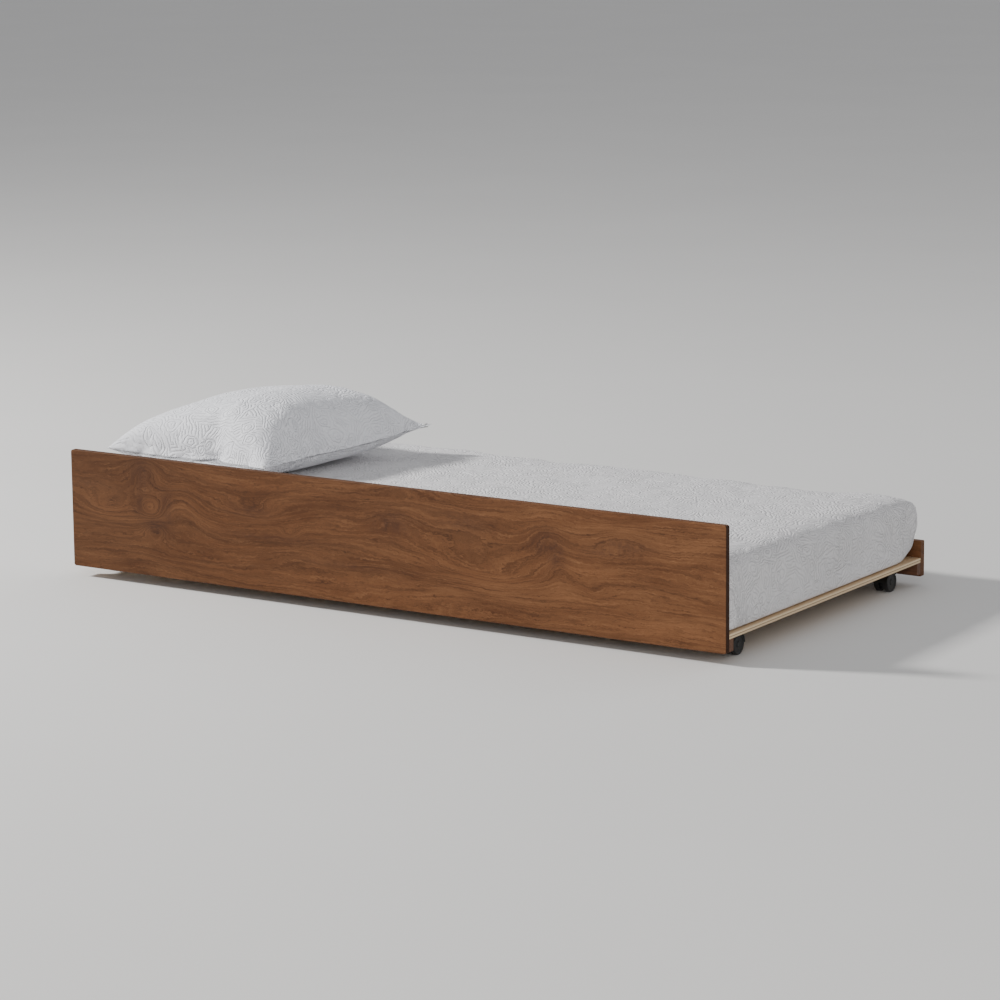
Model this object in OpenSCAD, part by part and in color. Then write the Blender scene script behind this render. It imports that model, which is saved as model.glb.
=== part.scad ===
// Trundle bed: a low bed on casters that rolls under a taller one. A tall front
// panel and a low back rail carry two cleats, plywood slats lie across the
// cleats, and a covered mattress and a pillow lie on the slats.
// Origin: on the floor under the middle of the frame.
// +X foot end, -X head end, -Y front panel, +Y back rail, +Z up. Millimetres.

/* [Frame] */
// Length of the panel, the rail and the deck
frame_l = 1905; // [1880:5:1940]
// Depth from the front panel's outer face to the back rail's outer face
frame_w = 1000; // [990:2:1020]
// Height of the deck's underside above the floor, which is the casters' height
deck_z = 60; // [60:1:64]

/* [Front panel] */
// Thickness of the front panel
panel_t = 16; // [15:1:20]
// Height of the front panel's board
panel_h = 300; // [280:5:320]
// Gap between the floor and the front panel
panel_gap = 28; // [18:1:29]
// Radius of the front panel's corners
panel_corner_r = 6; // [5:1:14]
// Rounding of the long edges of the panel, the rail and the cleats
board_ease = 1.6; // [1:0.2:2.4]

/* [Back rail and cleats] */
// Thickness of the back rail
rail_t = 20; // [18:1:22]
// Height of the back rail's board
rail_h = 90; // [85:1:95]
// Gap between the floor and the back rail
rail_gap = 24; // [18:1:28]
// Thickness of a cleat, measured away from its board
cleat_t = 19; // [18:1:22]
// Height of a cleat
cleat_h = 30; // [28:1:32]
// Screws along each cleat
cleat_screw_count = 8; // [6:1:10]

/* [Deck] */
// Number of slats
slat_count = 12; // [11:1:13]
// Width of a slat
slat_w = 100; // [96:1:104]
// Thickness of a slat
slat_t = 12; // [11:1:13]
// Gap between a slat's end and the board it meets
slat_end_gap = 1; // [0.5:0.5:2]
// Distance between the two screws at a slat's end
slat_screw_pitch = 60; // [50:2:66]

/* [Casters] */
// Diameter of a caster wheel
wheel_d = 50; // [48:1:50]
// Width over both wheels of a caster
caster_w = 39; // [37:1:40]
// Clear space between the two wheels of a caster
wheel_space = 13.8; // [13.4:0.1:15]
// Distance from the swivel axis back to the axle
caster_trail = 16; // [14:1:18]
// Distance from the end of the frame to a swivel axis
caster_from_end = 50; // [49:1:52]
// Distance of the swivel axes from the bed's centre line
caster_y = 369; // [340:1:372]
// Side of the square mounting plate
plate_side = 42; // [40:1:44]
// Thickness of the mounting plate
plate_t = 3; // [2.6:0.1:3]

/* [Mattress] */
// Length of the mattress in its cover
mattress_l = 1884; // [1870:2:1890]
// Height of the mattress top above the deck, front side
mattress_front_h = 175; // [170:1:180]
// Height of the mattress top above the deck, back side
mattress_back_h = 156; // [150:1:160]
// Thickness of the quilted cover
cover_t = 4; // [3:0.5:5]
// Width of the cover's hem that is tucked under the mattress
hem_w = 120; // [80:5:160]

/* [Pillow] */
// Side of the pillow along the bed
pillow_x = 500; // [480:5:510]
// Side of the pillow across the bed
pillow_y = 650; // [630:5:660]
// Height of the pillow's crown above the mattress
pillow_h = 207; // [200:1:214]
// Distance of the pillow's middle from the bed's middle, towards the head end
pillow_from_middle = 670; // [660:1:680]
// Turn of the pillow about the vertical
pillow_turn = -5; // [-6:1:0]
// Thickness of the quilted sham
sham_t = 3; // [2:0.5:4]

/* [Hidden] */
$fn = 64;
eps = 0.01;
// Gap left between soft pieces and what they lie on, and round a fitted skin
rest_gap = 0.3;
// Radial gap of a wheel on its axle and of a housing on its stem
running_gap = 0.05;
// Radial gap round a screw
screw_gap = 0.05;

end_x = frame_l / 2;
front_y = -frame_w / 2;
back_y = frame_w / 2;
panel_back_y = front_y + panel_t;
rail_inner_y = back_y - rail_t;
deck_top = deck_z + slat_t;

// Wood screws: head radius, shank radius, length
slat_screw = [4, 1.9, 26];
cleat_screw = [4.2, 2.1, 29];
cleat_screw_inset = 60;
cleat_screw_pitch = (frame_l - 2 * cleat_screw_inset) / (cleat_screw_count - 1);
slat_pitch = (frame_l - slat_w) / (slat_count - 1);

// Casters: name, side along X, side along Y
CASTERS = [
    ["caster_foot_front", 1, -1],
    ["caster_foot_back", 1, 1],
    ["caster_head_front", -1, -1],
    ["caster_head_back", -1, 1]
];
CASTER_PIECES = ["plate", "screws", "stem", "housing", "axle", "wheel_outer", "wheel_inner"];
wheel_r = wheel_d / 2;
wheel_t = (caster_w - wheel_space) / 2;
web_t = wheel_space - 1;
hood_in_r = wheel_r + 1;
hood_out_r = wheel_r + 3.5;
axle_r = 3;
stem_r = 4;
stem_length = 23;
collar_r = 7;
collar_t = 0.8;
housing_top = deck_z - plate_t - collar_t - 0.3;
boss_r = 9;
plate_hole_pitch = 29;
plate_screw_r = 1.8;
plate_screw_head_r = 3.6;
plate_screw_head_h = 2;
plate_screw_length = 9;

// Mattress section: [y, z, radius] of its round corners, from the front top one
// over the back ones to the front low one
mattress_base = deck_top + rest_gap;
mattress_front_y = panel_back_y + 4;
mattress_back_y = rail_inner_y + 2;
top_front_r = 50;
top_back_r = 60;
low_front_r = 25;
low_back_r = 58;
SECTION = [
    [mattress_front_y + top_front_r, mattress_base + mattress_front_h - top_front_r, top_front_r],
    [mattress_back_y - top_back_r, mattress_base + mattress_back_h - top_back_r, top_back_r],
    [mattress_back_y - 1 - low_back_r, mattress_base + low_back_r, low_back_r],
    [mattress_front_y + low_front_r, mattress_base + low_front_r, low_front_r]
];
end_top_r = 45;
end_low_r = 12;

// The mattress top slopes down towards the back
section_dy = SECTION[1][0] - SECTION[0][0];
section_dz = SECTION[1][1] - SECTION[0][1];
top_slope = atan(section_dz / section_dy)
    + asin((top_back_r - top_front_r) / norm([section_dy, section_dz]));
pillow_mid_y = -10;
pillow_base = SECTION[0][1] + top_front_r / cos(top_slope)
    + (pillow_mid_y - SECTION[0][0]) * tan(top_slope) + rest_gap;
seam_h = 66;
corner_r = 9;

function slat_name(i) = str("slat_", i < 10 ? "0" : "", i);
function slat_x(i) = -end_x + slat_w / 2 + (i - 1) * slat_pitch;

// Box with every edge eased, from its low corner
module eased_box(size, ease) {
    hull() {
        for (a = [0:2])
            translate([for (k = [0:2]) k == a ? 0 : ease])
                cube([for (k = [0:2]) k == a ? size[k] : size[k] - 2 * ease]);
    }
}

// Countersunk wood screw: head top at the origin, shank along -Z
module wood_screw(size, gap = 0) {
    head_r = size[0] + gap;
    shank_r = size[1] + gap;
    cone_h = size[0] - size[1];
    point_h = 5;
    translate([0, 0, -cone_h])
        cylinder(r1 = shank_r, r2 = head_r, h = cone_h);
    translate([0, 0, -size[2] + point_h])
        cylinder(r = shank_r, h = size[2] - point_h - cone_h + eps);
    translate([0, 0, -size[2] - gap])
        cylinder(r1 = 0.4 + gap, r2 = shank_r, h = point_h + gap);
}

// Cross slot in a screw's head, sunk from the origin
module cross_slot(length) {
    for (turn = [0, 90])
        rotate([0, 0, turn])
            translate([-length / 2, -0.5, -1.3])
                cube([length, 1, 1.3 + eps]);
}

module slotted_screw(size) {
    difference() {
        wood_screw(size);
        cross_slot(1.2 * size[0]);
    }
}

// Places of the screws along the front cleat (side -1) or the back cleat (side 1),
// turned so that the screw's point goes outwards into the board
module at_cleat_screws(side) {
    face_y = side < 0 ? panel_back_y + cleat_t : rail_inner_y - cleat_t;
    for (i = [0:cleat_screw_count - 1])
        translate([-end_x + cleat_screw_inset + i * cleat_screw_pitch, face_y, deck_z - cleat_h / 2])
            rotate([side * 90, 0, 0])
                children();
}

// Places of a slat's screws over the front cleat (side -1) or the back cleat (side 1)
module at_slat_screws(i, side) {
    y = side < 0 ? panel_back_y + cleat_t / 2 : rail_inner_y - cleat_t / 2;
    for (s = [-1, 1])
        translate([slat_x(i) + s * slat_screw_pitch / 2, y, deck_top - rest_gap])
            children();
}

module all_slat_screws(side) {
    for (i = [1:slat_count])
        at_slat_screws(i, side) children();
}

// Board with round corners and eased edges, on the front face
module front_panel() {
    color("#7a4f30")
    difference() {
        translate([0, panel_back_y, panel_gap])
            rotate([90, 0, 0])
                hull() {
                    for (x = [-1, 1], z = [0, 1])
                        translate([
                            x * (end_x - panel_corner_r),
                            z > 0 ? panel_h - panel_corner_r : panel_corner_r,
                            0
                        ])
                            eased_disc(panel_corner_r, panel_t, board_ease);
                }
        at_cleat_screws(-1) wood_screw(cleat_screw, screw_gap);
    }
}

// Disc with rounded rims
module eased_disc(r, t, ease) {
    steps = 4;
    rim = [for (k = [0:steps]) ease * [cos(90 * k / steps), sin(90 * k / steps)]];
    rotate_extrude($fn = 32)
        polygon(concat(
            [[0, 0]],
            [for (k = [0:steps]) [r - ease + rim[steps - k][0], ease - rim[steps - k][1]]],
            [for (k = [0:steps]) [r - ease + rim[k][0], t - ease + rim[k][1]]],
            [[0, t]]
        ));
}

module back_rail() {
    color("#7a4f30")
    difference() {
        translate([-end_x, rail_inner_y, rail_gap])
            eased_box([frame_l, rail_t, rail_h], board_ease);
        at_cleat_screws(1) wood_screw(cleat_screw, screw_gap);
    }
}

module cleat(side) {
    y = side < 0 ? panel_back_y : rail_inner_y - cleat_t;
    color("#6f452b")
    difference() {
        translate([-end_x, y, deck_z - cleat_h])
            eased_box([frame_l, cleat_t, cleat_h], board_ease / 2);
        at_cleat_screws(side) wood_screw(cleat_screw, screw_gap);
        all_slat_screws(side) wood_screw(slat_screw, screw_gap);
    }
}

module front_cleat() {
    cleat(-1);
}

module back_cleat() {
    cleat(1);
}

module cleat_screws(side) {
    color("silver")
        at_cleat_screws(side) slotted_screw(cleat_screw);
}

module slat_screws(side) {
    color("silver")
        all_slat_screws(side) slotted_screw(slat_screw);
}

// Plywood slat from the panel to the rail; the end ones also carry the casters
module slat(i) {
    length = rail_inner_y - panel_back_y - 2 * slat_end_gap;
    color("#d8b98a")
    difference() {
        translate([slat_x(i) - slat_w / 2, panel_back_y + slat_end_gap, deck_z])
            eased_box([slat_w, length, slat_t], 0.6);
        for (side = [-1, 1])
            at_slat_screws(i, side) countersunk_hole(slat_screw);
        for (c = CASTERS)
            at_caster(c) plate_screw_holes(deck_z - 1, plate_screw_r + screw_gap);
    }
}

// Hole that takes a wood screw whose head lies just under the surface
module countersunk_hole(size) {
    wood_screw(size, screw_gap);
    translate([0, 0, -eps])
        cylinder(r = size[0] + screw_gap, h = 1);
}

// A caster stands at its swivel axis; its own +Y is the way it trails
module at_caster(c) {
    translate([c[1] * (end_x - caster_from_end), c[2] * caster_y, 0])
        rotate([0, 0, c[2] > 0 ? 0 : 180])
            children();
}

module at_plate_corners() {
    for (x = [-1, 1], y = [-1, 1])
        translate([x * plate_hole_pitch / 2, y * plate_hole_pitch / 2, 0])
            children();
}

module plate_screw_holes(low, r) {
    at_plate_corners()
        translate([0, 0, low])
            cylinder(r = r, h = deck_z - plate_t + plate_screw_length + 1.5 - low);
}

module caster_plate() {
    corner = 5;
    color("#2a2a2c")
    difference() {
        translate([0, 0, deck_z - plate_t])
            linear_extrude(plate_t)
                union() {
                    square([plate_side, plate_side - 2 * corner], center = true);
                    square([plate_side - 2 * corner, plate_side], center = true);
                    for (x = [-1, 1], y = [-1, 1])
                        translate([x, y] * (plate_side / 2 - corner))
                            circle(corner);
                }
        plate_screw_holes(deck_z - plate_t - 1, plate_screw_r + 0.3);
        translate([0, 0, deck_z - plate_t - 1])
            cylinder(r = stem_r, h = plate_t + 2);
    }
}

// Pan-head screws that hold the plate up against the end slat
module caster_screws() {
    color("silver")
        at_plate_corners()
            translate([0, 0, deck_z - plate_t])
                difference() {
                    union() {
                        translate([0, 0, -plate_screw_head_h])
                            cylinder(r1 = plate_screw_head_r - 0.8, r2 = plate_screw_head_r, h = 0.9);
                        translate([0, 0, 0.9 - plate_screw_head_h])
                            cylinder(r = plate_screw_head_r, h = plate_screw_head_h - 0.9);
                        translate([0, 0, -eps])
                            cylinder(r = plate_screw_r, h = plate_screw_length - 1);
                        translate([0, 0, plate_screw_length - 1 - 2 * eps])
                            cylinder(r1 = plate_screw_r, r2 = 0.4, h = 2);
                    }
                    translate([0, 0, -plate_screw_head_h])
                        rotate([180, 0, 0])
                            cross_slot(4);
                }
}

// Swivel stem riveted into the plate, with a collar that carries the housing
module caster_stem() {
    color("silver") {
        translate([0, 0, deck_z - stem_length])
            cylinder(r = stem_r, h = stem_length - 0.2);
        translate([0, 0, deck_z - plate_t - collar_t])
            cylinder(r = collar_r, h = collar_t);
    }
}

// Side outline of the web between the wheels, about the axle: [along the trail, up]
module web_outline() {
    circle(r = wheel_r - 6);
    difference() {
        circle(r = hood_out_r);
        translate([-50, -100 + 2])
            square([100, 100]);
    }
    translate([-caster_trail - boss_r, 0])
        square([2 * boss_r, 24]);
}

// Side outline of the hood over the wheels, about the axle
module hood_outline() {
    difference() {
        circle(r = hood_out_r);
        circle(r = hood_in_r);
        translate([-50, -100])
            square([100, 100]);
        rotate([0, 0, 38])
            translate([0, -60])
                square([60, 60]);
    }
}

// Moulded housing: web, hood over both wheels, and the boss that turns on the stem
module caster_housing() {
    color("#1b1c1e")
    difference() {
        union() {
            translate([-web_t / 2, caster_trail, wheel_r])
                rotate([90, 0, 90])
                    linear_extrude(web_t)
                        web_outline();
            translate([-caster_w / 2, caster_trail, wheel_r])
                rotate([90, 0, 90])
                    linear_extrude(caster_w)
                        hood_outline();
            difference() {
                translate([0, 0, wheel_r])
                    cylinder(r = boss_r, h = housing_top - wheel_r);
                wheel_bays(hood_in_r);
            }
        }
        translate([0, 0, deck_z - stem_length - 1])
            cylinder(r = stem_r + running_gap, h = stem_length + 5);
        translate([-caster_w / 2, caster_trail, wheel_r])
            rotate([0, 90, 0])
                cylinder(r = axle_r, h = caster_w);
    }
}

// Room for the two wheels, on either side of the web
module wheel_bays(r) {
    for (s = [-1, 1])
        translate([s > 0 ? web_t / 2 : -web_t / 2 - caster_w, caster_trail, wheel_r])
            rotate([0, 90, 0])
                cylinder(r = r, h = caster_w);
}

module caster_axle() {
    reach = caster_w / 2 - 2.6;
    color("silver")
        translate([-reach, caster_trail, wheel_r])
            rotate([0, 90, 0])
                cylinder(r = axle_r, h = 2 * reach);
}

// One wheel: rounded tread, dished outer face with a hub cap, blind bore
module caster_wheel(side) {
    dish = 2.4;
    hub_r = 7;
    rim_w = 3.6;
    tread_r = 2.5;
    arc = [for (k = [0:4]) tread_r * [sin(90 * k / 4), cos(90 * k / 4)]];
    color("#232427")
        translate([0, caster_trail, wheel_r])
            rotate([0, side * 90, 0])
                translate([0, 0, wheel_space / 2])
                    difference() {
                        rotate_extrude()
                            polygon(concat(
                                [[0, 0], [wheel_r - 1, 0], [wheel_r, 1]],
                                [for (k = [0:4]) [
                                    wheel_r - tread_r + arc[4 - k][0],
                                    wheel_t - tread_r + arc[4 - k][1]
                                ]],
                                [
                                    [wheel_r - rim_w, wheel_t],
                                    [wheel_r - rim_w - dish, wheel_t - dish],
                                    [hub_r + 1.2, wheel_t - dish],
                                    [hub_r, wheel_t - 1.2],
                                    [hub_r - 1.2, wheel_t - 0.5],
                                    [0, wheel_t - 0.5]
                                ]
                            ));
                        translate([0, 0, -1])
                            cylinder(r = axle_r + running_gap, h = wheel_t - 1);
                    }
}

// Rounded block of the mattress, smaller all round by inset
module mattress_block(inset) {
    length = mattress_l - 2 * inset;
    low = mattress_base + inset;
    high = mattress_base + mattress_front_h - inset;
    intersection() {
        translate([-length / 2, 0, 0])
            rotate([90, 0, 90])
                linear_extrude(length)
                    hull() {
                        for (corner = SECTION)
                            translate([corner[0], corner[1]])
                                circle(r = corner[2] - inset);
                    }
        rotate([90, 0, 0])
            linear_extrude(frame_w, center = true)
                hull() {
                    for (s = [-1, 1]) {
                        translate([s * (length / 2 - end_top_r), high - end_top_r])
                            circle(r = end_top_r);
                        translate([s * (length / 2 - end_low_r), low + end_low_r])
                            circle(r = end_low_r);
                    }
                }
    }
}

module mattress_core() {
    color("#e4e2dc")
        mattress_block(cover_t + rest_gap);
}

// Quilted cover: round the mattress, with a hem tucked in underneath
module mattress_cover() {
    opening = [mattress_l - 2 * hem_w, mattress_back_y - mattress_front_y - 2 * hem_w];
    color("#e8e8ee")
    difference() {
        mattress_block(0);
        mattress_block(cover_t);
        translate([-opening[0] / 2, mattress_front_y + hem_w, mattress_base - 1])
            cube([opening[0], opening[1], cover_t + 2]);
    }
}

// The pillow's own frame: its base lies on the sloping top of the mattress
module on_mattress() {
    translate([-pillow_from_middle, pillow_mid_y, pillow_base])
        rotate([top_slope, 0, 0])
            rotate([0, 0, pillow_turn])
                children();
}

// Plump pillow with four corners at the height of its seam
module pillow_block(inset) {
    crown = [pillow_x / 2 - 60, pillow_y / 2 - 60, pillow_h / 2];
    hull() {
        for (x = [-1, 1], y = [-1, 1])
            translate([x * (pillow_x / 2 - corner_r), y * (pillow_y / 2 - corner_r), seam_h])
                sphere(r = corner_r - inset, $fn = 16);
        translate([0, 0, inset])
            linear_extrude(1)
                intersection() {
                    square([pillow_x - 150, pillow_y - 170], center = true);
                    circle(r = pillow_y / 2 - 60, $fn = 32);
                }
        translate([0, 0, pillow_h / 2])
            scale(crown - [inset, inset, inset])
                sphere(r = 1, $fn = 40);
    }
}

module pillow_insert() {
    color("#efefef")
        on_mattress() pillow_block(sham_t + rest_gap);
}

// Quilted sham with an envelope opening under its head-end side
module pillow_sham() {
    color("#ececf2")
        on_mattress()
            difference() {
                pillow_block(0);
                pillow_block(sham_t);
                translate([-pillow_x / 2 + 90, -pillow_y / 2 + 130, -1])
                    cube([6, pillow_y - 260, sham_t + 4]);
            }
}

front_panel();
back_rail();
front_cleat();
back_cleat();
cleat_screws(-1);  // front_cleat_screws
cleat_screws(1);  // back_cleat_screws
for (i = [1:slat_count])
    slat(i);
slat_screws(-1);  // front_slat_screws
slat_screws(1);  // back_slat_screws
for (c = CASTERS) {
    at_caster(c) caster_plate();
    at_caster(c) caster_screws();
    at_caster(c) caster_stem();
    at_caster(c) caster_housing();
    at_caster(c) caster_axle();
    at_caster(c) caster_wheel(c[1] * c[2]);
    at_caster(c) caster_wheel(-c[1] * c[2]);
}
mattress_core();
mattress_cover();
pillow_insert();
pillow_sham();
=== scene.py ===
"""Looks of the trundle bed: wood, plywood, casters, quilted mattress cover and pillow."""
import math

import bmesh
import bpy
import numpy as np
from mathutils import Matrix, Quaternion, Vector


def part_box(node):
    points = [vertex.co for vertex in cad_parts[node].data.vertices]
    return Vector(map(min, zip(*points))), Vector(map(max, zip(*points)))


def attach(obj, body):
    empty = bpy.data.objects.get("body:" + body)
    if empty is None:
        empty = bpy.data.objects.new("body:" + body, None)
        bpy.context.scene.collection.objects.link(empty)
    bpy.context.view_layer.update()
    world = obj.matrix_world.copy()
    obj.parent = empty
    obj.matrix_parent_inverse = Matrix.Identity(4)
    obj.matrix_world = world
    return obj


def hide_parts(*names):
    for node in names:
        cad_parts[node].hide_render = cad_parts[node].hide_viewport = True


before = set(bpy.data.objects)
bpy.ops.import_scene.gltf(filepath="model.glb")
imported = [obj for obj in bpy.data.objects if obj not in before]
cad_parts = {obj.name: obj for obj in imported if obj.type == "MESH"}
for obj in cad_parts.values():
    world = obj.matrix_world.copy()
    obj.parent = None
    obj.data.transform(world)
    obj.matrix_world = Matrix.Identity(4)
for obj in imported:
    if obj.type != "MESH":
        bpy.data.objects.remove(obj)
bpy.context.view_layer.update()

# ---------------------------------------------------------------- places from the frame

PANEL_LOW, PANEL_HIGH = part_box("front_panel")
RAIL_LOW, RAIL_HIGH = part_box("back_rail")
SLAT_LOW, SLAT_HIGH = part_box("slat_12")
COVER_LOW, COVER_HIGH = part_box("mattress_cover")
SHAM_LOW, SHAM_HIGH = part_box("pillow_sham")


# ---------------------------------------------------------------- camera, floor and light

LOOK_AT = Vector((0.017, 0.0, 0.208))
CAMERA_DISTANCE = 9.668
CAMERA_AZIMUTH = 32.99
CAMERA_ELEVATION = 11.27
CAMERA_ROLL = -0.56
CAMERA_LENS = 138.7
SENSOR_WIDTH = 36.0
LIGHT_TARGET = Vector((0.0, 0.0, 0.15))
# Each light's name, place, size, power and colour
LIGHTS = (
    ("key", (-6.4, -3.1, 4.7), (0.9, 0.9), 860.0, (1.0, 0.99, 0.975)),
    ("front_fill", (4.2, -5.6, 2.6), (3.6, 2.4), 110.0, (1.0, 0.985, 0.96)),
    ("back_fill", (2.5, 4.5, 3.2), (3.0, 2.0), 25.0, (0.95, 0.97, 1.0)),
)
SKY_COLOUR = (0.90, 0.91, 0.94, 1.0)
SKY_STRENGTH = 0.45
FLOOR_HALF = 60.0


def make_camera():
    azimuth, elevation = math.radians(CAMERA_AZIMUTH), math.radians(CAMERA_ELEVATION)
    back = Vector((
        math.sin(azimuth) * math.cos(elevation),
        -math.cos(azimuth) * math.cos(elevation),
        math.sin(elevation),
    ))
    data = bpy.data.cameras.new("camera")
    data.lens = CAMERA_LENS
    data.sensor_width = SENSOR_WIDTH
    data.clip_end = 200.0
    camera = bpy.data.objects.new("camera", data)
    bpy.context.scene.collection.objects.link(camera)
    camera.location = LOOK_AT + back * CAMERA_DISTANCE
    camera.rotation_mode = "QUATERNION"
    roll = Quaternion((0.0, 0.0, 1.0), math.radians(CAMERA_ROLL))
    camera.rotation_quaternion = (-back).to_track_quat("-Z", "Y") @ roll
    bpy.context.scene.camera = camera


def area_light(name, place, size, power, colour):
    data = bpy.data.lights.new(name, "AREA")
    data.shape = "RECTANGLE"
    data.size, data.size_y = size
    data.energy = power
    data.color = colour
    light = bpy.data.objects.new(name, data)
    bpy.context.scene.collection.objects.link(light)
    light.location = place
    towards = LIGHT_TARGET - Vector(place)
    light.rotation_mode = "QUATERNION"
    light.rotation_quaternion = towards.to_track_quat("-Z", "Y")


def make_lights():
    for light in LIGHTS:
        area_light(*light)
    world = bpy.data.worlds.new("studio")
    bpy.context.scene.world = world
    world.use_nodes = True
    background = world.node_tree.nodes["Background"]
    background.inputs["Color"].default_value = SKY_COLOUR
    background.inputs["Strength"].default_value = SKY_STRENGTH


# ---------------------------------------------------------------- material tools


class Shader:
    """One material's node tree, and short ways to add to it."""

    def __init__(self, name, **surface):
        self.material = bpy.data.materials.new(name)
        self.material.use_nodes = True
        self.tree = self.material.node_tree
        self.surface = self.tree.nodes["Principled BSDF"]
        for socket, value in surface.items():
            self.put(self.surface.inputs[socket.replace("_", " ")], value)

    def put(self, socket, value):
        if isinstance(value, bpy.types.NodeSocket):
            self.tree.links.new(value, socket)
        else:
            socket.default_value = value

    def node(self, kind, settings=None, **values):
        made = self.tree.nodes.new("ShaderNode" + kind)
        for key, value in (settings or {}).items():
            setattr(made, key, value)
        for key, value in values.items():
            self.put(made.inputs[key], value)
        return made

    def math(self, operation, *values):
        made = self.tree.nodes.new("ShaderNodeMath")
        made.operation = operation
        for socket, value in zip(made.inputs, values):
            self.put(socket, value)
        return made.outputs[0]

    def times(self, a, b):
        return self.math("MULTIPLY", a, b)

    def place(self):
        """The object's own x, y and z, which are the row frame's at rest."""
        coordinates = self.node("TexCoord")
        split = self.node("SeparateXYZ", Vector=coordinates.outputs["Object"])
        return split.outputs["X"], split.outputs["Y"], split.outputs["Z"]

    def facing(self, axis):
        """How squarely the surface faces along an axis of the object, from 0 to 1."""
        coordinates = self.node("TexCoord")
        split = self.node("SeparateXYZ", Vector=coordinates.outputs["Normal"])
        return self.math("ABSOLUTE", split.outputs[axis])

    def point(self, x, y=0.0, z=0.0):
        return self.node("CombineXYZ", X=x, Y=y, Z=z).outputs[0]

    def noise(self, point, scale, detail=2.0, roughness=0.5, distortion=0.0):
        return self.node(
            "TexNoise", Vector=point, Scale=scale, Detail=detail,
            Roughness=roughness, Distortion=distortion,
        ).outputs["Fac"]

    def drawn_out(self, x, y, z=0.0, detail=2.0, roughness=0.5):
        """Noise with its own scale along each axis: an axis is a value or (value, scale)."""
        scaled = [self.times(*axis) if isinstance(axis, tuple) else axis
                  for axis in (x, y, z)]
        return self.noise(self.point(*scaled), 1.0, detail, roughness)

    def bent(self, point, scale, reach):
        """The point moved by slow noise, so that a pattern laid on it wanders."""
        made = self.node("VectorMath", {"operation": "MULTIPLY_ADD"})
        way = self.node("TexNoise", Vector=point, Scale=scale, Detail=2.0).outputs["Color"]
        for socket, value in zip(made.inputs, (way, (reach, reach, reach), point)):
            self.put(socket, value)
        return made.outputs[0]

    def cells(self, point, size):
        """Distance to the middle of the nearest of many scattered cells, and their node."""
        made = self.node("TexVoronoi", {"voronoi_dimensions": "2D"}, Vector=point, Scale=1.0 / size)
        return self.times(made.outputs["Distance"], size), made

    def ramp(self, value, *stops):
        """A colour ramp: each stop is (place, colour or grey)."""
        made = self.node("ValToRGB", Fac=value)
        band = made.color_ramp.elements
        while len(band) < len(stops):
            band.new(0.5)
        for element, (place, colour) in zip(band, stops):
            element.position = place
            grey = not hasattr(colour, "__len__")
            element.color = (colour, colour, colour, 1.0) if grey else (*colour, 1.0)
        return made.outputs["Color"]

    def between(self, value, low, high, to_low=0.0, to_high=1.0):
        made = self.node("MapRange", Value=value)
        for socket, number in zip(("From Min", "From Max", "To Min", "To Max"),
                                  (low, high, to_low, to_high)):
            made.inputs[socket].default_value = number
        return made.outputs[0]

    def mix(self, share, a, b, blend="MIX"):
        made = self.node("Mix", {"data_type": "RGBA", "blend_type": blend})
        self.put(made.inputs[0], share)
        for socket, value in ((made.inputs[6], a), (made.inputs[7], b)):
            if isinstance(value, tuple) and len(value) == 3:
                value = (*value, 1.0)
            self.put(socket, value)
        return made.outputs[2]

    def over(self, base, colour, value, low, high, strength=1.0):
        """The base with a colour laid over it as a value goes from low to high."""
        return self.mix(self.between(value, low, high, 0.0, strength), base, colour)

    def bump(self, height, strength, distance, normal=None):
        made = self.node("Bump", Height=height)
        made.inputs["Strength"].default_value = strength
        made.inputs["Distance"].default_value = distance
        if normal is not None:
            self.put(made.inputs["Normal"], normal)
        return made.outputs[0]

    def colour(self, value):
        self.put(self.surface.inputs["Base Color"], value)

    def roughness(self, value):
        self.put(self.surface.inputs["Roughness"], value)

    def normal(self, value):
        self.put(self.surface.inputs["Normal"], value)


# ---------------------------------------------------------------- wood

# Knots and crotches of the front panel's veneer: x, z, spread along x, spread along z,
# and how far they push the grain lines, all in metres
PANEL_KNOTS = (
    (-0.699, 0.200, 0.034, 0.026, 0.062),
    (-0.822, 0.192, 0.110, 0.044, 0.060),
    (-0.716, 0.292, 0.046, 0.044, -0.048),
    (-0.688, 0.148, 0.036, 0.024, -0.046),
    (-0.600, 0.215, 0.060, 0.060, -0.038),
    (-0.389, 0.232, 0.075, 0.024, 0.030),
    (-0.274, 0.183, 0.030, 0.014, 0.022),
    (0.035, 0.245, 0.085, 0.034, -0.030),
    (0.290, 0.150, 0.170, 0.055, 0.054),
    (0.470, 0.252, 0.056, 0.044, -0.032),
    (0.505, 0.176, 0.032, 0.040, -0.020),
    (0.690, 0.262, 0.066, 0.030, -0.016),
    (0.598, 0.138, 0.036, 0.024, 0.012),
)
RAIL_KNOTS = (
    (-0.560, 0.062, 0.060, 0.016, 0.030),
    (0.240, 0.080, 0.110, 0.018, 0.036),
    (0.800, 0.066, 0.050, 0.014, -0.024),
)
# Dark smudges beside the knots: x, z, spread along x, spread along z, strength
PANEL_SMUDGES = (
    (-0.728, 0.284, 0.034, 0.046, 0.75),
    (-0.690, 0.158, 0.032, 0.018, 0.95),
    (-0.650, 0.205, 0.022, 0.056, 0.55),
    (-0.738, 0.205, 0.016, 0.026, 0.60),
    (-0.389, 0.225, 0.060, 0.016, 0.60),
    (-0.330, 0.165, 0.150, 0.009, 0.55),
    (0.030, 0.238, 0.056, 0.032, 0.75),
    (0.240, 0.262, 0.080, 0.026, 0.50),
    (0.462, 0.240, 0.044, 0.026, 0.85),
    (0.500, 0.205, 0.022, 0.030, 0.70),
    (0.690, 0.250, 0.062, 0.016, 0.70),
    (0.630, 0.228, 0.070, 0.010, 0.55),
    (-0.100, 0.120, 0.140, 0.009, 0.45),
    (-0.900, 0.245, 0.060, 0.011, 0.45),
)
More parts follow.
